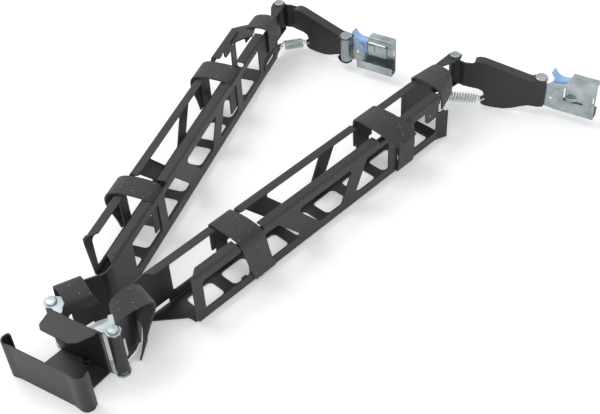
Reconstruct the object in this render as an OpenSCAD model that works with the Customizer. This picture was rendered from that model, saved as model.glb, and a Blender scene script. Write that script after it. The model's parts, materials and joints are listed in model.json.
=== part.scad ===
// Server cable management arm: two folding sheet-steel cable baskets on an elbow link,
// an end link and a rail latch on each basket, hook-and-loop straps and over-centre springs.
// Origin: on the underside of the elbow link, half way between the two elbow pins.
// +X runs from the elbow towards the rail latches, +Y towards the left basket, +Z up.

/* [Elbow] */
// half the distance between the two elbow pins
pin_half = 29.2; // [24:0.2:40]
// left basket turned out from +X, degrees
left_open = 10.7; // [0:0.1:40]
// right basket turned out from +X, degrees
right_open = 13.6; // [0:0.1:40]
// elbow pin shaft radius
pin_r = 3.9; // [3:0.1:4.2]

/* [Basket] */
// basket length along the arm
basket_len = 307; // [307:1:420]
// basket width over both walls
basket_w = 34.8; // [30:0.2:60]
// basket height
basket_h = 50; // [46:0.5:70]
// sheet steel thickness
sheet = 1.2; // [0.8:0.1:1.4]
// width of the turned-in top flanges
flange_w = 8.5; // [6:0.5:11]
// height of the bottom rail under the wall windows
rail_low = 10; // [6:0.5:12]
// height of the top rail over the wall windows
rail_high = 9; // [6:0.5:12]

/* [Straps] */
// width of the hook-and-loop straps
strap_w = 22; // [14:1:24]
// thickness of the straps
strap_t = 1.4; // [1:0.1:1.6]

/* [End link] */
// distance from end pin to swivel pin
link_len = 82; // [78:1:100]
// left link turned from its basket, degrees
left_link_turn = -106.2; // [-110:0.1:-60]
// right link turned from its basket, degrees (outwards)
right_link_turn = 65; // [20:0.1:80]

/* [Spring] */
// outer radius of the spring coil
coil_r = 5.2; // [4:0.1:5.4]
// radius of the spring wire
wire_r = 0.7; // [0.5:0.05:0.8]
// number of coils
coils = 12; // [8:1:12]

/* [Latch] */
// latch length beyond its swivel pin
latch_len = 52; // [50:1:70]
// latch height
latch_h = 40; // [38:0.5:46]
// latch channel depth
latch_d = 10; // [9:0.2:14]
// left latch turned from its link, degrees
left_latch_turn = 5.5; // [-20:0.1:20]
// right latch turned from its link, degrees (outwards)
right_latch_turn = 11.4; // [-20:0.1:20]

/* [Clearances] */
// running clearance round pins
bore_gap = 0.2; // [0.1:0.05:0.3]
// axial clearance between knuckles and ears
play = 0.3; // [0.2:0.05:0.5]
// gap between a strap and the steel it lies on
strap_gap = 0.3; // [0.2:0.05:0.5]

/* [Hidden] */
$fn = 48;
e = 0.01;
basket_x = 69;
wall_in = -27;
wall_out = wall_in + basket_w;
end_x = 428.5 - 307 + basket_len;
end_y = wall_in + 5.3;
z_in = rail_low;
z_top = basket_h - rail_high;
knuckle_r = 5.3;
link_z0 = basket_h - 3.2;
ear_z = basket_h - 3;
ear_low = 19;
swivel_z = basket_h - 12;
link_t = 1.5;
spring_z = 8.2;
anchor_x = end_x - 16;
anchor_y = wall_in + sheet/2;
hook_x = 28.5;
plate_y = 6.6;
latch_z0 = 6.6;
back_y = 4.9;
piv_x = 15.5;
piv_z = 28.5;
latch_out = 1.2;
latch_in_y = 1.5;
latch_up = 2.6;
black = [0.12, 0.12, 0.12];
zinc = [0.78, 0.83, 0.83];
blue = [0.55, 0.70, 0.93];
cloth = [0.09, 0.09, 0.09];

function unit(v) = v/norm(v);
function lft(v) = [-v[1], v[0]];
function turn(a, b) = atan2(a[0]*b[1] - a[1]*b[0], a*b);
function spin(v, a) = [v[0]*cos(a) - v[1]*sin(a), v[0]*sin(a) + v[1]*cos(a)];
// one rounded corner at b between a and c
function corner(a, b, c, r, n) =
  let (d1 = unit(b - a), d2 = unit(c - b), g = turn(d1, d2), h = abs(g)/2)
  abs(g) < 1 ? [b] :
  let (k = min(r*tan(h), 0.47*norm(b - a), 0.47*norm(c - b)),
       rr = k/tan(h), q = b - d1*k, s = sign(g))
  [for (i = [0:n]) q + s*rr*(lft(d1) - spin(lft(d1), g*i/n))];
function soft_line(p, r, n = 4) = [
  p[0],
  for (i = [1:len(p) - 2]) each corner(p[i - 1], p[i], p[i + 1], r, n),
  p[len(p) - 1]];
function soft_poly(p, r, n = 4) = [
  for (i = [0:len(p) - 1])
    each corner(p[(i + len(p) - 1) % len(p)], p[i], p[(i + 1) % len(p)], r, n)];
// outline of a sheet of thickness t that follows a line of points
function edge_pts(p, o) = [
  for (i = [0:len(p) - 1])
    let (d1 = unit(p[max(i, 1)] - p[max(i, 1) - 1]),
         j = min(i, len(p) - 2), d2 = unit(p[j + 1] - p[j]),
         m = unit(lft(d1) + lft(d2)))
    p[i] + m*o/(m*lft(d1))];
function rev(v) = [for (i = [len(v) - 1:-1:0]) v[i]];
function ribbon(p, t) = concat(edge_pts(p, -t/2), rev(edge_pts(p, t/2)));
function arc(c, r, a0, a1, n) = [for (i = [0:n]) c + r*[cos(a0 + (a1 - a0)*i/n), sin(a0 + (a1 - a0)*i/n)]];
function box_pts(x0, y0, x1, y1) = [[x0, y0], [x1, y0], [x1, y1], [x0, y1]];

// lays a drawn (y, z) section along +X from x0 to x1
module along(x0, x1) {
  translate([x0, 0, 0])
    rotate([90, 0, 90])
      linear_extrude(x1 - x0)
        children();
}
// stands a drawn (x, z) shape up from y0 to y1
module across(y0, y1) {
  translate([0, y1, 0])
    rotate([90, 0, 0])
      linear_extrude(y1 - y0)
        children();
}
module flat(z0, z1) {
  translate([0, 0, z0])
    linear_extrude(z1 - z0)
      children();
}
module disc(x, y, z0, z1, r) {
  translate([x, y, z0])
    cylinder(h = z1 - z0, r = r);
}
module ring(x, y, z0, z1, r_out, r_in) {
  difference() {
    disc(x, y, z0, z1, r_out);
    disc(x, y, z0 - 1, z1 + 1, r_in);
  }
}

module left_arm_frame() {
  translate([0, pin_half, 0])
    rotate([0, 0, left_open])
      children();
}
module right_arm_frame() {
  mirror([0, 1, 0])
    translate([0, pin_half, 0])
      rotate([0, 0, right_open])
        children();
}
module left_link_frame() {
  left_arm_frame()
    translate([end_x, end_y, 0])
      rotate([0, 0, left_link_turn])
        children();
}
module right_link_frame() {
  right_arm_frame()
    translate([end_x, end_y, 0])
      rotate([0, 0, right_link_turn])
        children();
}
module left_latch_frame() {
  left_link_frame()
    translate([link_len, 0, 0])
      rotate([0, 0, left_latch_turn])
        children();
}
module right_latch_frame() {
  right_link_frame()
    translate([link_len, 0, 0])
      rotate([0, 0, right_latch_turn])
        children();
}

// ---- elbow ----
function link_half() = [
  [-5.5, 0], [-5.5, 22.6], [-4.6, 24.5], [-6.2, pin_half], [-4.3, pin_half + 4.6],
  [0, pin_half + 6.4], [4.5, pin_half + 4.4], [6.3, pin_half], [7.5, pin_half - 3],
  [14, 19.5], [10, 16.3], [6.2, 19.6], [3, 15], [3, 0]];
function ear() = [
  [-5.5, 15.4], [-5.5, 22.6], [-4.6, 24.5], [-6.2, pin_half], [-4.3, pin_half + 4.6],
  [0, pin_half + 6.4], [4.5, pin_half + 4.4], [6.3, pin_half], [7.5, pin_half - 2.4],
  [13.6, 20.4], [9.4, 16.8], [5.8, 20], [1, 18.4], [-3.6, 15.4]];
module link_shape() {
  polygon(soft_poly(concat(link_half(), [for (i = [len(link_half()) - 1:-1:0])
    if (link_half()[i][1] > 0) [link_half()[i][0], -link_half()[i][1]]]), 1.2, 3));
}
module elbow_link() {
  color(zinc)
    difference() {
      union() {
        // one hinge ear at each end of the top
        for (s = [0, 1])
          mirror([0, s, 0])
            flat(link_z0, link_z0 + link_t)
              polygon(soft_poly(ear(), 1.2, 3));
        flat(0, link_t)
          link_shape();
        // upright web, cut low between the ears for the tray's hood
        across_x(-5.5, -5.5 + link_t)
          polygon(soft_poly([[-21.5, 0], [21.5, 0], [21.5, link_z0 + link_t], [15.4, link_z0 + link_t],
            [14.4, basket_h - 6], [-14.4, basket_h - 6], [-15.4, link_z0 + link_t],
            [-21.5, link_z0 + link_t]], 0.6, 2));
      }
      for (s = [-1, 1])
        disc(0, s*pin_half, -1, 60, pin_r + bore_gap/2);
      // lightening hole in the web
      across_x(-8, 0)
        polygon(soft_poly(box_pts(8, 12, 17, 36), 3));
      across_x(-8, 0)
        polygon(soft_poly(box_pts(-17, 12, -8, 36), 3));
    }
}
module across_x(x0, x1) {
  along(x0, x1)
    children();
}
module elbow_pin(s) {
  color(zinc) {
    disc(0, s*pin_half, 0.2, link_z0 + link_t + e, pin_r);
    translate([0, s*pin_half, link_z0 + link_t])
      rotate_extrude()
        polygon([[0, 0], [4.6, 0], [4.6, 1.3], [3.9, 2.1], [0, 2.3]]);
  }
}
module elbow_pin_left() {
  elbow_pin(1);
}
module elbow_pin_right() {
  elbow_pin(-1);
}

// ---- cable tray on the elbow ----
function tray_front() = concat(
  [[-33.6, 42.6], [-33.2, 45.0]],
  arc([-37.2, 41.2], 5.4, 62, 178, 9),
  [[-41.7, 35.6], [-41.7, -16.6]],
  arc([-36.9, -24.8], 6.2, 172, 268, 8),
  [[-32.8, -29.6]]);
module cable_tray() {
  color(black) {
    // back wall and hood, one bend
    difference() {
      union() {
        translate([-5.5 - sheet, -21, 0])
          cube([sheet, 47, basket_h - 4]);
        flat(basket_h - 3.7, basket_h - 3.7 + sheet)
          polygon(soft_poly([[-5.5, 25.6], [-20.6, 23.4], [-24, 19.8], [-24.6, -7],
            [-21.6, -12], [-5.5, -21]], 2.5));
        translate([-5.5 - sheet, -21, basket_h - 4.5])
          cube([sheet, 47, 2]);
      }
      // opening left by the lanced tab at the foot of the back wall
      along(-9, -4)
        polygon(soft_poly(box_pts(-2.6, -3, 5.6, 7), 3));
    }
    // lanced tab
    translate([-5.5 - sheet - 2.2, 1.5, 0.6])
      linear_extrude(5)
        polygon(ribbon(soft_line([[2.4, -4.2], [0.6, -4.2], [-0.6, 0], [0.6, 4.2], [2.4, 4.2]], 1.5, 3), 0.9));
    // floor
    flat(0, sheet)
      polygon(soft_poly([[-5.5, 26], [-24, 29.6], [-41.9, 34.5], [-41.9, -16], [-22.9, -18.7],
        [-5.5, -21]], 1.5));
    // front plate with both curled lips
    flat(0, 38)
      polygon(ribbon(tray_front(), sheet));
  }
}

// ---- baskets ----
function w_poly(a, b, c, d) = soft_poly([
  [basket_x + a, z_in], [basket_x + b, z_in], [basket_x + c, z_top], [basket_x + d, z_top]], 3);
module wall_windows() {
  // corners: low start, low end, high end, high start
  polygon(w_poly(10, 58, 58, 10));
  polygon(w_poly(70, 119, 92, 70));
  polygon(w_poly(140, 167, 182, 114));
  polygon(w_poly(184, 229, 229, 200));
}
// in_by, out_by and floor_by: how far the windows of each face lie nearer the elbow
module basket(in_by, out_by, floor_by) {
  x0 = basket_x;
  x1 = basket_x + basket_len;
  sec = soft_line([
    [wall_in + flange_w, basket_h - sheet/2], [wall_in + sheet/2, basket_h - sheet/2],
    [wall_in + sheet/2, sheet/2], [wall_out - sheet/2, sheet/2],
    [wall_out - sheet/2, basket_h - sheet/2], [wall_out - flange_w, basket_h - sheet/2]], 1.6, 3);
  inner = [[wall_in + flange_w, basket_h - sheet/2], [wall_in + sheet/2, basket_h - sheet/2],
    [wall_in + sheet/2, 6]];
  outer = [[wall_out - sheet/2, 2], [wall_out - sheet/2, basket_h - sheet/2],
    [wall_out - flange_w, basket_h - sheet/2]];
  color(black)
    difference() {
      union() {
        along(x0, x1)
          polygon(ribbon(sec, sheet));
        // outer wall and top rail start nearer the elbow
        if (out_by > 0)
          along(x0 - out_by, x0 + e)
            polygon(ribbon(outer, sheet));
        // floor reaches forward along a slanted edge
        flat(0, sheet)
          polygon([[47, wall_in + sheet/2], [46.6, wall_in + 5.2], [x0 - 1, -2.7], [x0 + 1, wall_out - 2],
            [x0 + 1, wall_in + sheet/2]]);
        // inner wall runs on towards the elbow
        along(49, x0 + e)
          polygon(ribbon(soft_line(inner, 1.6, 3), sheet));
        // inner wall runs on past the far end
        along(x1 - e, end_x - 26.5)
          polygon(ribbon([[wall_in + sheet/2, 0.8], [wall_in + sheet/2, ear_z + sheet]], sheet));
        elbow_leaf();
        end_ears();
        // lug with a small hole under the outer top rail
        across(wall_out - sheet, wall_out)
          polygon(soft_poly([[x1 - 27, z_top + 2], [x1 - 27, 31], [x1 - 24, 28], [x1 - 14, 28],
            [x1 - 9, 33], [x1 - 9, z_top + 2]], 2));
        // retaining lugs at the strap notches
        for (p = [46, 213]) {
          lug(p, wall_in + flange_w - 1.2, basket_h - sheet);
          lug(p + 33.5 + (p > 100 ? 8 : 0), wall_out - flange_w + 1.2, basket_h - sheet);
          lug(p + 5, wall_out - sheet - 1.4, 8.6);
        }
        // raised rim round the oblong slot
        across(wall_in - 0.8, wall_in + e)
          polygon(soft_poly(box_pts(x1 - 9, 5, x1 + 22, 18), 6, 6));
        // half-round emboss on the inner flange
        disc(59, wall_in + 4.4, basket_h - e, basket_h + 0.5, 2.4);
      }
      translate([-in_by, 0, 0])
        across(wall_in - 2, wall_in + 3)
          wall_windows();
      translate([-out_by, 0, 0])
        across(wall_out - 3, wall_out + 2)
          wall_windows();
      // last windows, inner and outer wall
      across(wall_in - 2, wall_in + 3)
        polygon(w_poly(241, 287, 287, 241));
      difference() {
        across(wall_out - 3, wall_out + 2)
          polygon(soft_poly([[x0 + 241, z_in], [x1 - 11, z_in], [x1 - 11, 31.5], [x1 + 9, 31.5],
            [x1 + 9, z_top], [x0 + 241, z_top]], 2));
        across(wall_out - 4, wall_out + 3)
          polygon(soft_poly([[x1 - 27, z_top + 4], [x1 - 27, 31], [x1 - 24, 28], [x1 - 14, 28],
            [x1 - 9, 33], [x1 - 9, z_top + 4]], 2));
      }
      // outer top rail stops short of the end
      translate([x1 - 7, wall_out - 11, 30])
        cube([20, 14, 30]);
      // inner flange stops short of the end
      translate([x1 - 6, wall_in - 1, basket_h - 1.6])
        cube([60, 14, 5]);
      translate([x1 - 6, wall_in + sheet, basket_h - 10])
        cube([10, 10, 12]);
      // hole in the lug
      across(wall_out - 3, wall_out + 2)
        translate([x1 - 20, 34])
          circle(1.6);
      // oblong slot
      across(wall_in - 3, wall_in + 3)
        polygon(soft_poly(box_pts(x1 - 5, 9, x1 + 18, 14), 2.5, 5));
      // bottom windows between the cross bars
      translate([-floor_by, 0, 0]) {
        flat(-1, sheet + 1)
          polygon(soft_poly(box_pts(x0 + 10, wall_in + 8, x0 + 36.7, wall_out - 8), 4));
        for (k = [0:6])
          flat(-1, sheet + 1)
            polygon(soft_poly(box_pts(x0 + 47.3 + 36.8*k, wall_in + 8, x0 + 73.5 + 36.8*k, wall_out - 8), 4));
      }
      // strap notches in both flanges
      for (n = [[49, 77], [216, 252]]) {
        translate([x0 + n[0], wall_in - 1, basket_h - 3.4])
          cube([n[1] - n[0], flange_w + 3, 5]);
        translate([x0 + n[0], wall_out - flange_w - 2, basket_h - 3.4])
          cube([n[1] - n[0], flange_w + 3, 5]);
      }
      // slanted flange starts
      flat(basket_h - 2.4, basket_h + 1)
        polygon([[40, wall_in + sheet + 1], [50, wall_in + sheet + 1], [56, wall_in + flange_w + 1],
          [40, wall_in + flange_w + 1]]);
      translate([-out_by, 0, 0])
        flat(basket_h - 2.4, basket_h + 1)
          polygon([[x0 - 1, wall_out - sheet - 1], [x0 + 3, wall_out - sheet - 1],
            [x0 + 12, wall_out - flange_w - 1], [x0 - 1, wall_out - flange_w - 1]]);
      // first outer post: slanted edge and rounded foot
      across(wall_out - 3, wall_out + 2)
        polygon([[x0 - out_by - 9, -2], [x0 + 6, -2], [x0 + 2, 1.5], [x0 - 0.5, 5],
          [x0 - out_by - 0.5, basket_h - 2], [x0 - out_by - 9, basket_h - 2]]);
    }
  // end tab of the outer bottom rail, bent outwards
  color(black)
    flat(0.8, 31)
      polygon(ribbon([[x1 - 11, wall_out - sheet/2], [x1 - 9.5, wall_out - sheet/2],
        [x1 + 0.6, wall_out + 3.4]], sheet));
}
module lug(p, y, z) {
  translate([basket_x + p, y, z])
    rotate([0, 90, 0])
      cylinder(h = 4.6, r = 1.5);
}
// rolled hinge leaf between inner wall and elbow pin
module elbow_leaf() {
  leaf = concat([[50, wall_in + sheet/2]],
    soft_line([[47, wall_in + sheet/2], [37.5, -25.2], [33.2, -19.6], [27.4, -13.4], [18.5, -8.2],
      [6, -4.95], [-0.9, -4.6]], 9, 4));
  difference() {
    union() {
      flat(2, link_z0 - play)
        polygon(ribbon(leaf, sheet));
      for (z = [[0, 3], [40, basket_h - 1.7]])
        flat(z[0], z[1])
          polygon(ribbon([for (p = leaf) if (p[0] > 26) p], sheet));
      disc(0, 0, 4.6, link_z0 - play, knuckle_r);
    }
    disc(0, 0, -1, 60, pin_r + bore_gap);
    // strap slot beside the knuckle
    across(-14, 0)
      polygon(soft_poly(box_pts(7.2, 4.5, 11.4, 25.5), 1.5));
    // seam between upper and lower knuckle
    translate([-7, -4.2, basket_h - 16.6])
      cube([13, 12, 0.7]);
  }
}
// ears and spring tab at the far end of the inner wall
module end_ears() {
  xw = end_x - 27;
  difference() {
    union() {
      across(wall_in, wall_in + sheet)
        polygon([[xw, 2], [end_x - 24, 4.4], [end_x - 16.4, 5], [end_x - 15.2, 6.8],
          [end_x - 16.2, 11], [end_x - 23.4, 13], [end_x - 23.4, ear_low], [end_x - 13.5, ear_low],
          [end_x - 13.5, ear_z + sheet], [xw, ear_z + sheet]]);
      for (z = [ear_low, ear_z])
        flat(z, z + sheet)
          polygon(soft_poly([[xw, wall_in], [end_x, end_y - 6.4], [end_x + 4.8, end_y - 4.6],
            [end_x + 6.5, end_y], [end_x + 4.8, end_y + 4.6], [end_x, end_y + 6.4], [end_x - 9, end_y + 5.5],
            [xw, wall_in + 4]], 2.4));
    }
    disc(end_x, end_y, 0, 60, 3.3 + bore_gap/2);
    // hole for the spring hook
    across(wall_in - 2, wall_in + 3)
      translate([anchor_x - 2.4, spring_z])
        circle(1.35);
  }
}
module left_basket() {
  left_arm_frame()
    basket(0, 4.6, 4.6);
}
module right_basket() {
  right_arm_frame()
    basket(4.8, 0, 0);
}

// ---- straps ----
module strap_over(p0, inner_y, z_a, z_b, top) {
  color(cloth)
    along(basket_x + p0, basket_x + p0 + strap_w)
      polygon(ribbon(soft_line([
        [inner_y, z_a], [inner_y, top], [wall_out + strap_gap + strap_t/2, top],
        [wall_out + strap_gap + strap_t/2, z_b]], 3, 4), strap_t));
}
in_side = wall_in + sheet + strap_gap + strap_t/2;
out_side = wall_in - strap_gap - strap_t/2;
module left_lower_strap() {
  left_arm_frame()
    strap_over(51, in_side, 12, 4, basket_h + 1);
}
module left_upper_strap() {
  left_arm_frame()
    strap_over(221, in_side, 12, 4, basket_h + 1);
}
module right_lower_strap() {
  right_arm_frame()
    strap_over(52, out_side, 22, 2, basket_h + 1);
}
module right_upper_strap() {
  right_arm_frame()
    strap_over(224, out_side, 22, 2, basket_h + 1);
}
module left_end_strap() {
  x1 = basket_x + basket_len;
  color(cloth)
    left_arm_frame()
      along(x1 + 1, x1 + 1 + strap_w)
        polygon(ribbon(soft_line([
          [out_side, 20], [out_side, 49.6], [wall_in + 12, 49.6], [wall_in + 12, 24]], 1.8, 4), strap_t));
}
module right_end_strap() {
  x1 = basket_x + basket_len;
  color(cloth)
    right_arm_frame()
      along(x1 + 1, x1 + 1 + strap_w)
        polygon(ribbon(soft_line([
          [out_side, 20], [out_side, 49.6], [1, 49.6], [1, 24]], 1.8, 4), strap_t));
}
// loose strap end lying over the hinge leaf and hanging down its outer side
module elbow_strap(x0, y0, a, h) {
  top = link_z0 + link_t + strap_gap + strap_t/2;
  color(cloth)
    translate([x0, y0, 0])
      rotate([0, 0, a])
        along(0, strap_w*0.9)
          polygon(ribbon(soft_line([[-10, top], [h - 2, top], [h, top - 12], [h - 1, 21]], 2.5, 4), strap_t));
}
module left_elbow_strap() {
  left_arm_frame()
    elbow_strap(9, -8.7, -44, 14.2);
}
module right_elbow_strap() {
  right_arm_frame()
    elbow_strap(14, -7, -10, 11.5);
}

// ---- end pins, links and springs ----
module end_pin() {
  color(zinc)
    translate([end_x, end_y, 0]) {
      disc(0, 0, 17.4, ear_z + sheet + e, 3.3);
      translate([0, 0, ear_z + sheet])
        rotate_extrude()
          polygon([[0, 0], [4.9, 0], [4.9, 1.2], [4.2, 2], [0, 2.2]]);
      disc(0, 0, 17, 19, 4.3);
    }
}
module left_end_pin() {
  left_arm_frame()
    end_pin();
}
module right_end_pin() {
  right_arm_frame()
    end_pin();
}
module link_plate() {
  l = link_len - 82;
  path = soft_line([[0, 4.7], [6.5, 4.7], [10.5, plate_y], [14, plate_y]], 2, 3);
  flange = soft_line([[20, basket_h - 1.8], [24, basket_h - 0.6], [28, basket_h - 0.6],
    [74 + l, swivel_z - 0.6], [82 + l, swivel_z - 0.6]], 3, 3);
  side = [[13, ear_z - play], [18, ear_z + 0.2], [23, basket_h], [28, basket_h], [74 + l, swivel_z],
    [87 + l, swivel_z], [87 + l, 10.6], [79 + l, 9.8],
    [73 + l, 9.6], [66 + l, 7], [58 + l, 3.4], [50, 1.2], [40, 0.8], [32, 1.2], [28.8, 2.8], [27.6, 7],
    [28, 11.2], [30, 11.8], [31, 14], [29.5, 17.6], [25, 19.4], [13, 20.2]];
  color(black)
    difference() {
      union() {
        ring(0, 0, ear_low + sheet + play, ear_z - play, knuckle_r, 3.3 + bore_gap);
        flat(ear_low + sheet + play, ear_z - play)
          polygon(ribbon(path, sheet));
        across(plate_y - sheet/2, plate_y + sheet/2)
          polygon(soft_poly(side, 1.6, 3));
        // flange folded over towards the swivel, running into the upper ear
        across(-2, plate_y + sheet/2)
          polygon(ribbon(flange, sheet));
        for (z = [9.6, swivel_z - sheet])
          flat(z, z + sheet)
            polygon(soft_poly([[link_len - 10, plate_y + 0.6], [link_len - 10, -1], [link_len - 5, -5],
              [link_len, -6.2], [link_len + 4.6, -4.4], [link_len + 6.2, 0], [link_len + 4.6, 4.6],
              [link_len, plate_y + 0.6]], 2));
      }
      disc(0, 0, 0, 60, 3.3 + bore_gap);
      disc(link_len, 0, 0, 60, 3.1 + bore_gap/2);
      // swivel barrel space
      disc(link_len, 0, 10.8, swivel_z - sheet, 5.5 + 0.45);
      // hole for the spring hook
      across(0, 12)
        translate([hook_x + 2.4, spring_z])
          circle(1.35);
    }
}
module left_link_plate() {
  left_link_frame()
    link_plate();
}
module right_link_plate() {
  right_link_frame()
    link_plate();
}
// wire swept along a path of points
function frames(p) = [
  for (i = 0, t = unit(p[1] - p[0]), n = unit(cross(t, [0.31, 0.2, 0.93]));
    i < len(p);
    i = i + 1,
    t = unit(p[min(i + 1, len(p) - 1)] - p[max(i - 1, 0)]),
    n = unit(n - t*(n*t)))
    [n, cross(t, n)]];
module wire(p, r, k = 6) {
  f = frames(p);
  m = len(p);
  pts = [for (i = [0:m - 1]) for (j = [0:k - 1]) p[i] + r*(f[i][0]*cos(360*j/k) + f[i][1]*sin(360*j/k))];
  faces = concat(
    [[for (j = [0:k - 1]) j]],
    [for (i = [0:m - 2]) for (j = [0:k - 1]) [i*k + j, (i + 1)*k + j, (i + 1)*k + (j + 1) % k]],
    [for (i = [0:m - 2]) for (j = [0:k - 1]) [i*k + j, (i + 1)*k + (j + 1) % k, i*k + (j + 1) % k]],
    [[for (j = [k - 1:-1:0]) (m - 1)*k + j]]);
  polyhedron(points = pts, faces = faces, convexity = 8);
}
// extension spring from a to b at height z, hooks lying flat
module spring(a, b, z) {
  d = norm(b - a);
  ang = atan2(b[1] - a[1], b[0] - a[0]);
  rm = coil_r - wire_r;
  c0 = 4.4;
  pitch = (d - 2*c0)/coils;
  rr = 2.4;
  path = concat(
    [for (t = [-250:25:0]) [rr*sin(t), rr*cos(t), 0]],
    [[c0 - 3, rr + 0.3, -0.5], [c0 - 1.8, rm - 0.9, -0.9], [c0 - 0.8, rm - 0.3, -0.7]],
    [for (i = [0:coils*10]) [c0 + pitch*i/10, rm*cos(36*i), rm*sin(36*i)]],
    [[d - c0 + 0.8, rm - 0.3, 0.7], [d - c0 + 1.8, rm - 0.9, 0.9], [d - c0 + 3, rr + 0.3, 0.5]],
    [for (t = [0:25:250]) [d + rr*sin(t), rr*cos(t), 0]]);
  color(zinc)
    translate([a[0], a[1], z])
      rotate([0, 0, ang])
        wire(path, wire_r);
}
module left_spring() {
  b = [end_x, end_y] + spin([hook_x, plate_y], left_link_turn);
  left_arm_frame()
    spring([anchor_x, anchor_y], b, spring_z);
}
module right_spring() {
  b = [end_x, end_y] + spin([hook_x, plate_y], right_link_turn);
  right_arm_frame()
    spring([anchor_x, anchor_y], b, spring_z);
}

// ---- swivels and latches ----
module swivel_pin() {
  color(zinc)
    translate([link_len, 0, 0]) {
      disc(0, 0, 8, swivel_z + e, 3.1);
      translate([0, 0, swivel_z])
        rotate_extrude()
          polygon([[0, 0], [5.9, 0], [5.9, 1.2], [5.2, 1.9], [0, 2.1]]);
      disc(0, 0, 7.9, 9.6, 4);
    }
}
module left_swivel_pin() {
  left_link_frame()
    swivel_pin();
}
module right_swivel_pin() {
  right_link_frame()
    swivel_pin();
}
// places the channel, lever, rivet and catch beside the swivel barrel
module beside_barrel() {
  translate([latch_out, -latch_in_y, latch_up])
    children();
}
module latch_body() {
  zt = latch_z0 + latch_h;
  zn = swivel_z - sheet - play - latch_up;
  yf = back_y + 0.6 - latch_d;
  lower = soft_line([[yf, latch_z0 + 9.5], [yf, latch_z0 + 0.6], [back_y, latch_z0 + 0.6],
    [back_y, latch_z0 + 9]], 1.3, 3);
  upper = soft_line([[yf + 0.6, zt - 5], [yf + 0.6, zt - 0.6], [back_y, zt - 0.6],
    [back_y, zt - 9]], 1.3, 3);
  color(zinc)
    difference() {
      union() {
        ring(0, 0, 11.1, swivel_z - sheet - play, 5.5, 3.1 + bore_gap);
        beside_barrel() {
          across(back_y - 0.6, back_y + 0.6)
            polygon(soft_poly([[-1, 11.1 - latch_up], [6.5, 11.1 - latch_up], [9, latch_z0 + 2],
              [12, latch_z0 + 1.4], [latch_len, latch_z0 + 1.4], [latch_len, zt - 1.4], [27, zt - 1.4],
              [25.5, 42], [21.5, 38.6], [16, 37.3], [10, 37.2], [7, zn], [-1, zn]], 1.2, 3));
          along(14, latch_len)
            polygon(ribbon(lower, sheet));
          along(27, latch_len)
            polygon(ribbon(upper, sheet));
          // raised D beside the window
          across(back_y - 1.1, back_y)
            polygon(concat([[43, 24], [46, 24]], arc([46, 28.5], 4.5, -80, 80, 8), [[46, 33], [43, 33]]));
        }
      }
      disc(0, 0, 0, 60, 3.1 + bore_gap);
      beside_barrel() {
        // window for the catch
        across(0, 8)
          polygon(soft_poly(box_pts(22, 20, 41, 34.5), 1.5));
        // upright slot
        across(0, 8)
          polygon(soft_poly(box_pts(latch_len - 2.6, 25, latch_len - 1.4, 32), 0.5, 2));
        // adjusting holes
        across(0, 8)
          translate([10.6, 19])
            circle(1.5);
        across(0, 8)
          translate([13.6, 16.6])
            circle(0.8);
        across(0, 8)
          translate([piv_x, piv_z])
            circle(2.2 + bore_gap/2);
      }
    }
}
module left_latch_body() {
  left_latch_frame()
    latch_body();
}
module right_latch_body() {
  right_latch_frame()
    latch_body();
}
module latch_lever() {
  color(blue)
    difference() {
      union() {
        across(2.4, 4)
          translate([piv_x, piv_z])
            circle(7.2);
        across(2.4, 4)
          polygon(soft_poly([[piv_x - 6, piv_z], [piv_x + 6, piv_z], [piv_x + 7, 36], [piv_x + 8, 40.5],
            [piv_x - 4, 40.5], [piv_x - 5.5, 36]], 1));
        // curved thumb tab
        across(-3.6, 4)
          polygon(ribbon(soft_line([[8.6, 46.6], [11.4, 42.2], [16, 39.4], [21.6, 39.2], [26, 41]], 6, 3), 1.8));
      }
      across(0, 8)
        translate([piv_x, piv_z])
          circle(2.2 + bore_gap);
      // space for the catch leaf
      translate([21.4, 0, 16])
        cube([10, 8, 19]);
    }
}
module left_latch_lever() {
  left_latch_frame()
    beside_barrel()
      latch_lever();
}
module right_latch_lever() {
  right_latch_frame()
    beside_barrel()
      latch_lever();
}
module lever_rivet() {
  color(zinc) {
    across(1.2, back_y + 0.6)
      translate([piv_x, piv_z])
        circle(2.2);
    across(1, 2.2)
      translate([piv_x, piv_z])
        circle(3.5);
    across(back_y + 0.6, back_y + 1.1)
      translate([piv_x, piv_z])
        circle(3.2);
  }
}
module left_lever_rivet() {
  left_latch_frame()
    beside_barrel()
      lever_rivet();
}
module right_lever_rivet() {
  right_latch_frame()
    beside_barrel()
      lever_rivet();
}
// catch leaf seen through the window
module catch() {
  color(zinc)
    difference() {
      union() {
        across(2.4, 3.6)
          polygon(soft_poly([[23, 21], [42, 21], [42, 33.5], [23, 33.5]], 0.8, 2));
        across(1.2, 2.5)
          polygon(soft_poly(box_pts(23.5, 26, 30, 33), 0.5, 2));
        // rolled edge that the leaf turns on
        disc(42, 3.2, 21, 33.5, 1);
        // sloping nose that enters the rail
        flat(22, 25.5)
          polygon([[24, 3.5], [36, 3.5], [30, 7.6], [26, 7.6]]);
      }
    }
}
module left_catch() {
  left_latch_frame()
    beside_barrel()
      catch();
}
module right_catch() {
  right_latch_frame()
    beside_barrel()
      catch();
}

elbow_link();
cable_tray();
elbow_pin_left();
elbow_pin_right();
left_basket();
left_lower_strap();
left_upper_strap();
left_end_strap();
left_elbow_strap();
left_end_pin();
left_link_plate();
left_spring();
left_swivel_pin();
left_latch_body();
left_latch_lever();
left_lever_rivet();
left_catch();
right_basket();
right_lower_strap();
right_upper_strap();
right_end_strap();
right_elbow_strap();
right_end_pin();
right_link_plate();
right_spring();
right_swivel_pin();
right_latch_body();
right_latch_lever();
right_lever_rivet();
right_catch();
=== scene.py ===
# %% [markdown]
# # Server cable management arm
# Two folding steel baskets meet at an elbow link and end in rail latches.
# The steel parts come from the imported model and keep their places. The work
# here is the camera, the finishes and the soft and springy pieces.

# %% Load the frame
import math
import json
import bpy
import bmesh
from mathutils import Vector, Matrix

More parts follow.
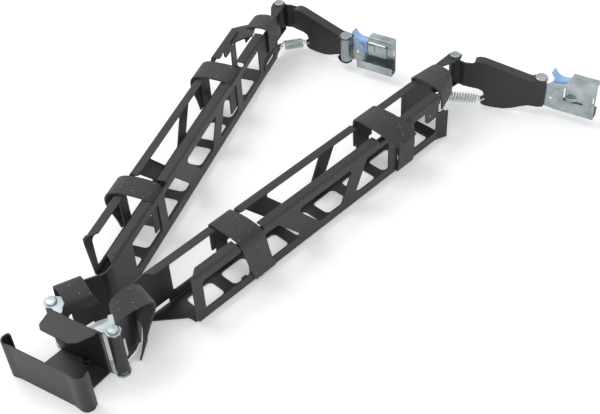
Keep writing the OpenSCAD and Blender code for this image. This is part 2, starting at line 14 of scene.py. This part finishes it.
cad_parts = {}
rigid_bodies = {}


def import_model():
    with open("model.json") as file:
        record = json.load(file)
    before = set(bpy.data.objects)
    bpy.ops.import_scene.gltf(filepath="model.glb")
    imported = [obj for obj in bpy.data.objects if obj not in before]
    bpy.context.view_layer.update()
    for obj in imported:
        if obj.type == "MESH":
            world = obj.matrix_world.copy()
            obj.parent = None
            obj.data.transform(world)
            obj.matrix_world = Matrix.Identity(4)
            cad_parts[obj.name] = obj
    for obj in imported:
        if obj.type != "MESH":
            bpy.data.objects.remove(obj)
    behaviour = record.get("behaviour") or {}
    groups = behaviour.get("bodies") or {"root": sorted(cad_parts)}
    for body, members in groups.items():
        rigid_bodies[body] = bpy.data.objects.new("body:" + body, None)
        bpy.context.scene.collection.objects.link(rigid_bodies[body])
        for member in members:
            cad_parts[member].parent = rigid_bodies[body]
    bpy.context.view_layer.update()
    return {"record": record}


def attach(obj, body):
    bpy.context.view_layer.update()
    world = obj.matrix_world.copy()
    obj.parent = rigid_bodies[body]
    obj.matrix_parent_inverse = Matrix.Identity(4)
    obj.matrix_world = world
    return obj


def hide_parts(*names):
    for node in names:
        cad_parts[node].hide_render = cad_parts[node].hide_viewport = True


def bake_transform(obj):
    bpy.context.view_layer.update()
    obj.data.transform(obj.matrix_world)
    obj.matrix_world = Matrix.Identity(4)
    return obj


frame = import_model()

# %% [markdown]
# ## Camera
# The camera stands in front of the elbow and looks along both baskets from
# about 43 degrees up. Its place and three axes are given as numbers, because
# a single matrix holds a view more exactly than a target and a tilt.

# %% Camera
bpy.ops.object.camera_add()
camera = bpy.context.object
camera.name = "product_camera"
right = Vector((0.50398809, -0.86247225, -0.04623431))
up = Vector((0.60955431, 0.31724972, 0.72649581))
back = Vector((-0.61191466, -0.39432756, 0.68561376))
spot = Vector((-0.333980, -0.411460, 0.618000))
camera.matrix_world = Matrix((
    (right.x, up.x, back.x, spot.x),
    (right.y, up.y, back.y, spot.y),
    (right.z, up.z, back.z, spot.z),
    (0, 0, 0, 1)))
camera.data.lens = 61.98
camera.data.sensor_width = 36
camera.data.clip_end = 20
bpy.context.scene.camera = camera
print("camera at", tuple(round(v, 3) for v in spot))

# %% [markdown]
# ## Floor and light
# A product shot on white. The floor is a pale plane that keeps the soft
# shadow. Rays that come straight from the camera, or by way of metal, see
# the surroundings as plain white, so no extra light falls on the object.

# %% Floor
bpy.ops.mesh.primitive_plane_add(size=8, location=(0.2, 0, -0.0002))
floor = bpy.context.object
floor.name = "studio_floor"


def rays_that_see_white(nt):
    """1 for camera, glossy and transmitted rays, else 0."""
    path = nt.nodes.new("ShaderNodeLightPath")
    first = nt.nodes.new("ShaderNodeMath")
    first.operation = "MAXIMUM"
    second = nt.nodes.new("ShaderNodeMath")
    second.operation = "MAXIMUM"
    nt.links.new(path.outputs["Is Camera Ray"], first.inputs[0])
    nt.links.new(path.outputs["Is Glossy Ray"], first.inputs[1])
    nt.links.new(first.outputs[0], second.inputs[0])
    nt.links.new(path.outputs["Is Transmission Ray"], second.inputs[1])
    return second.outputs[0]


floor_mat = bpy.data.materials.new("floor_white")
floor_mat.use_nodes = True
nt = floor_mat.node_tree
nt.nodes.clear()
out = nt.nodes.new("ShaderNodeOutputMaterial")
paint = nt.nodes.new("ShaderNodeBsdfDiffuse")
paint.inputs["Color"].default_value = (0.92, 0.92, 0.92, 1)
glow = nt.nodes.new("ShaderNodeEmission")
glow.inputs["Color"].default_value = (1, 1, 1, 1)
glow.inputs["Strength"].default_value = 0.22
add = nt.nodes.new("ShaderNodeAddShader")
mix = nt.nodes.new("ShaderNodeMixShader")
nt.links.new(paint.outputs[0], add.inputs[0])
nt.links.new(glow.outputs[0], add.inputs[1])
nt.links.new(rays_that_see_white(nt), mix.inputs[0])
nt.links.new(paint.outputs[0], mix.inputs[1])
nt.links.new(add.outputs[0], mix.inputs[2])
nt.links.new(mix.outputs[0], out.inputs[0])
floor.data.materials.append(floor_mat)
print("floor:", floor.name)

# %% Surroundings
world = bpy.data.worlds.new("studio")
bpy.context.scene.world = world
world.use_nodes = True
wt = world.node_tree
wt.nodes.clear()
w_out = wt.nodes.new("ShaderNodeOutputWorld")
w_soft = wt.nodes.new("ShaderNodeBackground")
w_soft.inputs["Color"].default_value = (1, 1, 1, 1)
w_soft.inputs["Strength"].default_value = 0.75
w_seen = wt.nodes.new("ShaderNodeBackground")
w_seen.inputs["Color"].default_value = (1, 1, 1, 1)
w_seen.inputs["Strength"].default_value = 1.0
w_mix = wt.nodes.new("ShaderNodeMixShader")
wt.links.new(rays_that_see_white(wt), w_mix.inputs[0])
wt.links.new(w_soft.outputs[0], w_mix.inputs[1])
wt.links.new(w_seen.outputs[0], w_mix.inputs[2])
wt.links.new(w_mix.outputs[0], w_out.inputs[0])


def softbox(name, place, aim, size, power):
    """A square area lamp at place that looks at aim."""
    bpy.ops.object.light_add(type="AREA", location=place)
    lamp = bpy.context.object
    lamp.name = name
    lamp.data.size = size
    lamp.data.energy = power
    way = Vector(aim) - Vector(place)
    lamp.rotation_euler = way.to_track_quat("-Z", "Y").to_euler()
    return lamp


key = softbox("key_light", (0.15, 0.9, 1.3), (0.2, 0, 0), 0.9, 9)
fill = softbox("fill_light", (-0.8, -0.9, 0.9), (0.1, 0, 0), 1.2, 2.5)
bpy.context.scene.view_settings.view_transform = "Standard"
print("lamps:", key.data.energy, fill.data.energy)

# %% [markdown]
# ## Finishes
# Every finish is built from the same few nodes: object coordinates, a noise
# for each scale of detail, and a bump. A small helper adds a node and wires
# it, so each finish reads as a short recipe.

# %% Finish helpers


class Finish:
    """A material under construction."""

    def __init__(self, name):
        self.mat = bpy.data.materials.new(name)
        self.mat.use_nodes = True
        self.nt = self.mat.node_tree
        self.bsdf = self.nt.nodes["Principled BSDF"]
        self.place = self.nt.nodes.new("ShaderNodeTexCoord").outputs["Object"]

    def node(self, kind, **inputs):
        n = self.nt.nodes.new(kind)
        for key_, value in inputs.items():
            self.wire(value, n.inputs[key_.replace("_", " ")])
        return n

    def wire(self, value, socket):
        if isinstance(value, bpy.types.NodeSocket):
            self.nt.links.new(value, socket)
        else:
            socket.default_value = value

    def noise(self, scale, detail=2.0, rough=0.5):
        n = self.node("ShaderNodeTexNoise", Vector=self.place, Scale=scale,
                      Detail=detail, Roughness=rough)
        return n.outputs["Fac"]

    def cells(self, scale):
        return self.node("ShaderNodeTexVoronoi", Vector=self.place, Scale=scale)

    def ramp(self, value, low, high, a, b):
        """a below low, b above high, and even between."""
        n = self.nt.nodes.new("ShaderNodeMapRange")
        for i, v in enumerate((value, low, high, a, b)):
            self.wire(v, n.inputs[i])
        return n.outputs[0]

    def mix(self, amount, a, b):
        n = self.nt.nodes.new("ShaderNodeMix")
        n.data_type = "RGBA"
        self.wire(amount, n.inputs["Factor"])
        self.wire(a if isinstance(a, bpy.types.NodeSocket) else (*a, 1), n.inputs["A"])
        self.wire(b if isinstance(b, bpy.types.NodeSocket) else (*b, 1), n.inputs["B"])
        return n.outputs["Result"]

    def math(self, how, a, b):
        n = self.nt.nodes.new("ShaderNodeMath")
        n.operation = how
        self.wire(a, n.inputs[0])
        self.wire(b, n.inputs[1])
        return n.outputs[0]

    def edges(self, radius):
        """1 along sharp edges, 0 on flats, and the rounded normal there."""
        soft = self.node("ShaderNodeBevel", Radius=radius)
        flat = self.nt.nodes.new("ShaderNodeNewGeometry")
        dot = self.nt.nodes.new("ShaderNodeVectorMath")
        dot.operation = "DOT_PRODUCT"
        self.nt.links.new(soft.outputs[0], dot.inputs[0])
        self.nt.links.new(flat.outputs["Normal"], dot.inputs[1])
        return self.ramp(dot.outputs["Value"], 0.86, 0.99, 1.0, 0.0), soft.outputs[0]

    def bump(self, height, strength, distance, normal=None):
        n = self.node("ShaderNodeBump", Height=height, Strength=strength, Distance=distance)
        if normal is not None:
            self.nt.links.new(normal, n.inputs["Normal"])
        return n.outputs[0]

    def set(self, **sockets):
        for key_, value in sockets.items():
            self.wire(value, self.bsdf.inputs[key_.replace("_", " ")])
        return self.mat


# %% [markdown]
# ### Black powder coat
# The baskets, links and tray are pressed sheet with a thin baked powder
# coat. It is a satin black with a faint orange-peel surface. Pressed edges are
# painted greyer, partly as a thinner worn coat, partly as a painted highlight.

# %% Black powder coat
f = Finish("black_powder_coat")
edge_wear_and_highlight, rounded = f.edges(0.0007)
peel = f.noise(700, 3)
cloud = f.noise(14, 3)
coat = f.mix(f.ramp(cloud, 0.35, 0.7, 0.0, 1.0), (0.012, 0.012, 0.013), (0.020, 0.020, 0.021))
# painted highlight: sharp edges are painted grey, partly wear and partly the glint they catch
coat = f.mix(f.math("MULTIPLY", edge_wear_and_highlight, 0.5), coat, (0.15, 0.15, 0.155))
black_coat = f.set(
    Base_Color=coat,
    Roughness=f.ramp(cloud, 0.3, 0.75, 0.42, 0.50),
    Normal=f.bump(peel, 0.12, 0.0002, rounded))
print("made", black_coat.name)

# %% [markdown]
# ### Zinc plate
# Pins, the elbow link and the rail latches are zinc plated steel. Plating
# is bright, slightly blue, and cloudy where the bath left a thinner film.
# Fine rolling lines run along the sheet, as a stretched noise shows them.

# %% Zinc plate
f = Finish("zinc_plate")
edge_wear_and_highlight, rounded = f.edges(0.0005)
cloud = f.noise(60, 4, 0.6)
flecks = f.cells(420).outputs["Distance"]
turned = f.node("ShaderNodeMapping", Vector=f.place, Scale=(900, 900, 90)).outputs[0]
rolling = f.node("ShaderNodeTexNoise", Vector=turned, Scale=1.0, Detail=2.0).outputs["Fac"]
film = f.mix(f.ramp(cloud, 0.35, 0.68, 0.0, 1.0), (0.27, 0.31, 0.32), (0.46, 0.52, 0.53))
# painted highlight: sharp edges are painted near white, partly worn plating and partly glint
film = f.mix(f.math("MULTIPLY", edge_wear_and_highlight, 0.5), film, (0.80, 0.84, 0.84))
zinc_plate = f.set(
    Base_Color=film,
    Metallic=0.9,
    Roughness=f.ramp(cloud, 0.3, 0.7, 0.24, 0.40),
    Normal=f.bump(f.math("ADD", rolling, f.math("MULTIPLY", flecks, 0.4)), 0.10, 0.0001, rounded))
print("made", zinc_plate.name)

# %% [markdown]
# ### Blue plastic
# The thumb levers are moulded from a pale blue plastic. It is smooth and a bit
# waxy, and its moulded edges are painted a touch lighter as a painted highlight.

# %% Blue plastic
f = Finish("blue_moulded_plastic")
edge_wear_and_highlight, rounded = f.edges(0.0006)
cloud = f.noise(90, 3)
tone = f.mix(f.ramp(cloud, 0.3, 0.7, 0.0, 1.0), (0.30, 0.50, 0.84), (0.35, 0.56, 0.88))
# painted highlight: moulded edges are painted lighter
tone = f.mix(f.math("MULTIPLY", edge_wear_and_highlight, 0.3), tone, (0.55, 0.70, 0.93))
blue_plastic = f.set(
    Base_Color=tone,
    Roughness=f.ramp(cloud, 0.3, 0.7, 0.34, 0.44),
    Normal=f.bump(f.noise(1500, 2), 0.06, 0.0001, rounded))
print("made", blue_plastic.name)

# %% [markdown]
# ### Spring wire
# The springs are wound from bright drawn wire, smoother and shinier than
# plated sheet, with faint draw marks.

# %% Spring wire
f = Finish("bright_spring_wire")
cloud = f.noise(300, 3)
wire_metal = f.set(
    Base_Color=f.mix(f.ramp(cloud, 0.3, 0.7, 0.0, 1.0), (0.55, 0.60, 0.61), (0.72, 0.76, 0.77)),
    Metallic=0.9,
    Roughness=f.ramp(cloud, 0.3, 0.7, 0.18, 0.32),
    Normal=f.bump(f.noise(2500, 2), 0.08, 0.0001))
print("made", wire_metal.name)

# %% [markdown]
# ### Hook-and-loop strap
# A strap is a black woven tape with a napped face of tiny loops. Two scales
# of cells make the loops and the weave under them, and a few loops in a
# hundred stand up and catch the light as pale specks.

# %% Strap cloth
f = Finish("strap_loop_cloth")
loops = f.cells(1500).outputs["Distance"]
tufts = f.cells(500)
fuzz = f.noise(2600, 3, 0.7)
speck = f.ramp(tufts.outputs["Color"], 0.80, 0.92, 0.0, 1.0)
near = f.ramp(tufts.outputs["Distance"], 0.15, 0.45, 1.0, 0.0)
pile = f.mix(f.ramp(fuzz, 0.35, 0.75, 0.0, 1.0), (0.010, 0.010, 0.011), (0.050, 0.050, 0.053))
pile = f.mix(f.math("MULTIPLY", f.math("MULTIPLY", speck, near), 0.85), pile, (0.34, 0.34, 0.35))
height = f.math("ADD", f.math("MULTIPLY", loops, 0.6), fuzz)
strap_cloth = f.set(
    Base_Color=pile,
    Roughness=0.88,
    Sheen_Weight=0.25,
    Sheen_Roughness=0.5,
    Normal=f.bump(height, 0.75, 0.0005))
print("made", strap_cloth.name)

# %% Give the steel and plastic their finishes
finish_of = {"black_steel": black_coat, "zinc_steel": zinc_plate, "blue_plastic": blue_plastic,
             "spring_wire": wire_metal, "strap_webbing": strap_cloth}
for row in frame["record"]["subparts"]:
    body = bpy.data.objects[row["node"]]
    for s in body.material_slots:
        s.material = finish_of[row["material_slot"]]
    print(row["node"], "->", finish_of[row["material_slot"]].name)

# %% [markdown]
# ## Straps
# Each strap is a flat tape that lies over the two walls of a basket. On the
# real arm it can only bend along its length, so it is built as a ribbon: a
# plane for the first stretch, then one extruded edge for each bend. A few
# rows are enough, because a Subdivision modifier rounds the bends and a
# Solidify modifier gives the tape its thickness.

# %% Places along a basket
arm_turn = {"left": 10.7, "right": 13.6}
pin_half = 29.2


def on_arm(side, x, y, z):
    """A place on a basket in mm: x along it, y outwards, z up."""
    a = math.radians(arm_turn[side])
    px = x * math.cos(a) - y * math.sin(a)
    py = x * math.sin(a) + y * math.cos(a) + pin_half
    flip = 1 if side == "left" else -1
    return Vector((px, flip * py, z)) / 1000


print("left basket, near its far end:", on_arm("left", 376, 0, 50))

# %% Ribbon tools


def pick(obj, places, reach=2e-5):
    """Select only the vertices at the given places."""
    bm = bmesh.from_edit_mesh(obj.data)
    for v in bm.verts:
        v.select_set(False)
    for v in bm.verts:
        if any((v.co - p).length < reach for p in places):
            v.select_set(True)
    bm.select_flush_mode()
    bmesh.update_edit_mesh(obj.data)


def move_one(obj, a, b):
    """Move the vertex at a to b."""
    if (b - a).length > 1e-9:
        pick(obj, [a])
        bpy.ops.transform.translate(value=b - a)


def ribbon(name, rows):
    """A strip through rows of (near edge, far edge) places, in metres."""
    bpy.ops.object.select_all(action="DESELECT")
    (a0, b0), (a1, b1) = rows[0], rows[1]
    mid = (a0 + b0 + a1 + b1) / 4
    bpy.ops.mesh.primitive_plane_add(size=0.02, location=mid)
    obj = bpy.context.object
    obj.name = name
    bpy.ops.object.transform_apply(location=True, rotation=True, scale=True)
    corners = [v.co.copy() for v in obj.data.vertices]
    bpy.ops.object.mode_set(mode="EDIT")
    bpy.ops.mesh.select_mode(type="VERT")
    for corner, place in zip(corners, (a0, b0, a1, b1)):
        move_one(obj, corner, place)
    for (a, b), (c, d) in zip(rows[1:], rows[2:]):
        step = ((c + d) - (a + b)) / 2
        pick(obj, [a, b])
        bpy.ops.mesh.extrude_region_move(TRANSFORM_OT_translate={"value": step})
        move_one(obj, a + step, c)
        move_one(obj, b + step, d)
    bpy.ops.mesh.select_all(action="SELECT")
    bpy.ops.mesh.normals_make_consistent(inside=False)
    bpy.ops.object.mode_set(mode="OBJECT")
    return obj


def apply(obj, kind, **settings):
    """Add a modifier to a piece, set it and apply it."""
    mod = obj.modifiers.new(kind.lower(), kind)
    for key_, value in settings.items():
        setattr(mod, key_, value)
    bpy.context.view_layer.objects.active = obj
    bpy.ops.object.modifier_apply(modifier=mod.name)


def strap(name, side, node, rows, thick=0.0015, ragged=False):
    """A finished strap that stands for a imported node."""
    rows = [(on_arm(side, *a), on_arm(side, *b)) for a, b in rows]
    obj = ribbon(name, rows)
    apply(obj, "SUBSURF", levels=3, render_levels=3, boundary_smooth="PRESERVE_CORNERS")
    if ragged:
        fray(obj, rows[-1])
    apply(obj, "SOLIDIFY", thickness=thick, offset=0.0)
    obj.data.materials.clear()
    obj.data.materials.append(strap_cloth)
    bpy.ops.object.select_all(action="DESELECT")
    obj.select_set(True)
    bpy.context.view_layer.objects.active = obj
    bpy.ops.object.shade_smooth_by_angle(angle=math.radians(40))
    if node:
        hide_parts(node)
    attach(obj, side + "_arm")
    print(name, len(obj.data.vertices), "vertices")
    return obj


def fray(obj, last):
    """Lift every other vertex of the cut end a little."""
    a, b = last
    width = (b - a).length
    along = (b - a).normalized()

    def on_cut(place):
        run = place - a
        return abs(run.dot(along) - run.length) < 2e-4 and run.length < width + 1e-3

    ends = [v.co.copy() for v in obj.data.vertices if on_cut(v.co)]
    ends.sort(key=lambda c: (c - a).dot(along))
    bpy.ops.object.mode_set(mode="EDIT")
    pick(obj, ends[1::2])
    bpy.ops.transform.translate(value=(0, 0, 0.0009))
    bpy.ops.object.mode_set(mode="OBJECT")


# %% [markdown]
# ### Straps round the right basket
# The near strap lies over both walls and hangs down outside the basket,
# where its ragged cut end rests on the floor. The far strap is doubled: a
# stiff free flap stands off above the layer that goes down to the floor.

# %% Right basket straps
strap("right_lower_tape", "right", "right_lower_strap", [
    ((119, -28.3, 20), (141, -28.3, 20)),
    ((119, -28.3, 45), (141, -28.3, 45)),
    ((119, -27.6, 50.6), (141, -27.6, 50.6)),
    ((119, -22, 51.6), (142, -22, 51.6)),
    ((119, -8, 52.2), (143, -8, 52.2)),
    ((119, 5, 51.6), (143, 5, 51.6)),
    ((120, 8.8, 48), (144, 8.8, 48)),
    ((122, 9.3, 38), (146, 9.3, 38)),
    ((126, 9.3, 18), (149, 9.3, 18)),
    ((131, 9.6, 3), (153, 9.6, 3))], ragged=True)

# %% Right upper strap
strap("right_upper_tape", "right", "right_upper_strap", [
    ((292, -28.3, 20), (316, -28.3, 20)),
    ((292, -28.6, 44), (316, -28.6, 44)),
    ((291, -27.5, 52), (316, -27.5, 52)),
    ((289, -21, 55), (315, -21, 55)),
    ((288, -9, 56), (315, -9, 56)),
    ((289, 3, 54), (317, 3, 54)),
    ((292, 12, 49), (320, 12, 49)),
    ((296, 19, 42), (320, 20, 42))])
strap("right_upper_under_tape", "right", None, [
    ((305, 1, 51.4), (327, 1, 51.4)),
    ((306, 7, 50.6), (328, 7, 50.6)),
    ((308, 9.3, 46), (329, 9.3, 46)),
    ((310, 9.4, 30), (331, 9.4, 30)),
    ((310, 9.3, 12), (331, 9.3, 12)),
    ((308, 9.0, 1.4), (330, 9.0, 1.4))])

# %% [markdown]
# ### Straps round the left basket
# Both straps go down inside the near wall. Over the far wall they bulge
# outwards in a soft loop and come back under the rail.

# %% Left basket straps
strap("left_lower_tape", "left", "left_lower_strap", [
    ((119, -24.6, 14), (141, -24.6, 14)),
    ((119, -24.6, 44), (141, -24.6, 44)),
    ((119, -23.4, 50), (141, -23.4, 50)),
    ((119, -18, 51.6), (141, -18, 51.6)),
    ((119, -4, 52.4), (141, -4, 52.4)),
    ((119, 6, 52.0), (141, 6, 52.0)),
    ((119, 14.4, 49), (141, 14.4, 49)),
    ((119, 19, 42), (141, 19, 42)),
    ((119, 17.4, 31), (141, 17.4, 31)),
    ((120, 11.5, 20), (140, 11.5, 20)),
    ((122, 10.2, 8), (139, 10.2, 8))])
strap("left_upper_tape", "left", "left_upper_strap", [
    ((286, -24.6, 14), (311, -24.6, 14)),
    ((286, -24.6, 44), (311, -24.6, 44)),
    ((286, -23.4, 50), (311, -23.4, 50)),
    ((286, -18, 51.6), (311, -18, 51.6)),
    ((286, -4, 52.2), (311, -4, 52.2)),
    ((286, 6, 51.8), (311, 6, 51.8)),
    ((286, 12, 49), (311, 12, 49)),
    ((286, 14.5, 43), (311, 14.5, 43)),
    ((287, 14, 32), (310, 14, 32)),
    ((289, 11, 20), (309, 11, 20)),
    ((291, 10.2, 8), (308, 10.2, 8))])

# %% [markdown]
# ### Straps at the far ends
# Behind the last windows a strap is wound round the inner wall. The left
# one ends in a flared tail that stands free.

# %% End straps
strap("right_end_tape", "right", "right_end_strap", [
    ((374, -28.4, 22), (399, -28.2, 22)),
    ((374, -28.6, 45), (399, -28.4, 45)),
    ((372.6, -30, 50.4), (400, -27.4, 50.2)),
    ((372, -22, 53.2), (401, -21, 52.6)),
    ((372, -8, 53.4), (401, -9, 52.8)),
    ((373, 2.6, 51.4), (399.5, -5, 51)),
    ((373.4, 5.6, 44), (399.5, -3, 44)),
    ((375, 5.4, 30), (399.5, -3, 30))])
strap("left_end_tape", "left", "left_end_strap", [
    ((378, -28.4, 22), (400, -28.4, 22)),
    ((378, -28.6, 44), (400, -28.6, 44)),
    ((377, -29.4, 49.6), (400, -29.4, 49.6)),
    ((377, -25, 51.8), (400, -25, 51.8)),
    ((376, -16, 52), (400, -16, 52)),
    ((377, -6, 50), (399, -7, 50)),
    ((378, -3.4, 44), (399, -4.4, 44)),
    ((379, -3.4, 30), (398, -4.4, 30))])
strap("left_end_tail_tape", "left", None, [
    ((388, -13, 48.6), (366, -17, 48.6)),
    ((384, -6, 48), (363, -12, 48)),
    ((379, 2, 47.4), (357, -6, 47.4)),
    ((375, 9, 46.6), (350, -1, 46.6))])

# %% [markdown]
# ### Loose straps at the elbow
# Each hinge leaf has a slot that holds a strap for the cables that pass the
# elbow. The left one lies flat on the leaf. The right one folds over in an
# open loop, and its end hangs to the floor.

# %% Elbow straps
strap("left_elbow_tape", "left", "left_elbow_strap", [
    ((0.5, -12, 38), (17.5, -29, 38)),
    ((-1, -13, 46), (14.5, -29.4, 46)),
    ((0, -12, 49.4), (15, -27, 49.4)),
    ((6, -6, 50.2), (21, -20, 50.2)),
    ((11, 1, 50.2), (26.5, -13, 50.2)),
    ((14, 6, 49.2), (29.5, -8.6, 49.2)),
    ((15.2, 8, 44), (31, -7, 44)),
    ((15.6, 8.4, 30), (31.2, -6.4, 30))])
strap("right_elbow_tape", "right", "right_elbow_strap", [
    ((15, -22, 40), (3, -3, 40)),
    ((14, -22.5, 47), (2.5, -2, 47)),
    ((18, -22, 52), (9, -1, 52)),
    ((27, -21, 55), (20, 1.5, 55)),
    ((36, -19, 54), (31, 3, 54)),
    ((41, -17.5, 50), (38, 3, 50)),
    ((40.5, -17, 43), (37, 3, 43)),
    ((35.5, -17, 33), (31.5, 2.4, 33)),
    ((34, -16, 22), (26, 1.6, 22)),
    ((31, -9.5, 1.4), (14.8, 2.2, 1.4))])

# %% [markdown]
# ## Springs
# A pull spring joins each basket to its end link. A round wire section is
# turned into a coil by a Screw modifier, and the same section spun through
# most of a circle makes the hook at each end.

# %% Where the springs sit
end_pin = (428.5, -21.7)
link_turn = {"left": -106.2, "right": 65.0}
hook_s = 28.5
plate_y = 6.6
anchor = (412.5, -26.4)
spring_z = 8.2
coil_r = 4.5
wire_r = 0.7
wire_sides = 10
turns = 12
steps_per_turn = 24
lead = 4.4
hook_r = 2.4
hook_sweep = math.radians(250)


def hook_place(side):
    """Where the spring hooks into the end link, on the arm, in mm."""
    a = math.radians(link_turn[side])
    return (end_pin[0] + hook_s * math.cos(a) - plate_y * math.sin(a),
            end_pin[1] + hook_s * math.sin(a) + plate_y * math.cos(a))


for s in ("left", "right"):
    print(s, "spring is", round(math.dist(anchor, hook_place(s)), 1), "mm long")

# %% Wind the springs


def wind_spring(side):
    """A pull spring along +Z that is then laid between its two holes."""
    far = hook_place(side)
    length = math.dist(anchor, far)
    pitch = (length - 2 * lead) / turns
    bpy.ops.object.select_all(action="DESELECT")
    bpy.ops.mesh.primitive_circle_add(vertices=wire_sides, radius=wire_r, location=(coil_r, 0, 0),
                                      rotation=(math.radians(90), 0, 0))
    coil = bpy.context.object
    bpy.ops.object.transform_apply(location=True, rotation=True, scale=True)
    apply(coil, "SCREW", angle=math.radians(360 * turns), screw_offset=pitch * turns,
          steps=steps_per_turn * turns,
          render_steps=steps_per_turn * turns, axis="Z", use_merge_vertices=False)
    parts = [coil]
    for end in (0, 1):
        bpy.ops.object.select_all(action="DESELECT")
        base = 0.0 if end == 0 else pitch * turns
        way = -1 if end == 0 else 1
        bpy.ops.mesh.primitive_circle_add(vertices=wire_sides, radius=wire_r,
                                          location=(hook_r, 0, base + way * lead))
        hook = bpy.context.object
        bpy.ops.object.transform_apply(location=True, rotation=True, scale=True)
        bpy.ops.object.mode_set(mode="EDIT")
        bpy.ops.mesh.select_all(action="SELECT")
        bpy.ops.mesh.spin(steps=20, angle=-way * hook_sweep, axis=(0, 1, 0),
                          center=(0, 0, base + way * lead))
        bpy.ops.object.mode_set(mode="OBJECT")
        # the straight lead between hook and coil
        bpy.ops.object.select_all(action="DESELECT")
        a = Vector((hook_r, 0, base + way * lead))
        b = Vector((coil_r, 0, base))
        run = b - a
        bpy.ops.mesh.primitive_cylinder_add(vertices=wire_sides, radius=wire_r, depth=run.length,
                                            location=(a + b) / 2,
                                            rotation=run.to_track_quat("Z", "Y").to_euler())
        lead_rod = bpy.context.object
        bpy.ops.object.transform_apply(location=True, rotation=True, scale=True)
        parts += [hook, lead_rod]
    bpy.ops.object.select_all(action="DESELECT")
    for p in parts:
        p.select_set(True)
    bpy.context.view_layer.objects.active = coil
    bpy.ops.object.join()
    spring = bpy.context.object
    spring.name = side + "_pull_spring"
    a = on_arm(side, anchor[0], anchor[1], spring_z)
    b = on_arm(side, far[0], far[1], spring_z)
    along = (b - a).normalized()
    across = Vector((0, 0, 1)).cross(along)
    place = Matrix((
        (across.x * 1e-3, 0, along.x * 1e-3, a.x + along.x * lead * 1e-3),
        (across.y * 1e-3, 0, along.y * 1e-3, a.y + along.y * lead * 1e-3),
        (across.z * 1e-3, 1e-3, along.z * 1e-3, a.z + along.z * lead * 1e-3),
        (0, 0, 0, 1)))
    spring.matrix_world = place
    bpy.ops.object.transform_apply(location=True, rotation=True, scale=True)
    bpy.ops.object.mode_set(mode="EDIT")
    bpy.ops.mesh.select_all(action="SELECT")
    bpy.ops.mesh.normals_make_consistent(inside=False)
    bpy.ops.object.mode_set(mode="OBJECT")
    bpy.ops.object.shade_smooth_by_angle(angle=math.radians(50))
    spring.data.materials.clear()
    spring.data.materials.append(wire_metal)
    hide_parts(side + "_spring")
    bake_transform(spring)
    print(spring.name, len(spring.data.vertices), "vertices")
    return spring


for s in ("left", "right"):
    wind_spring(s)
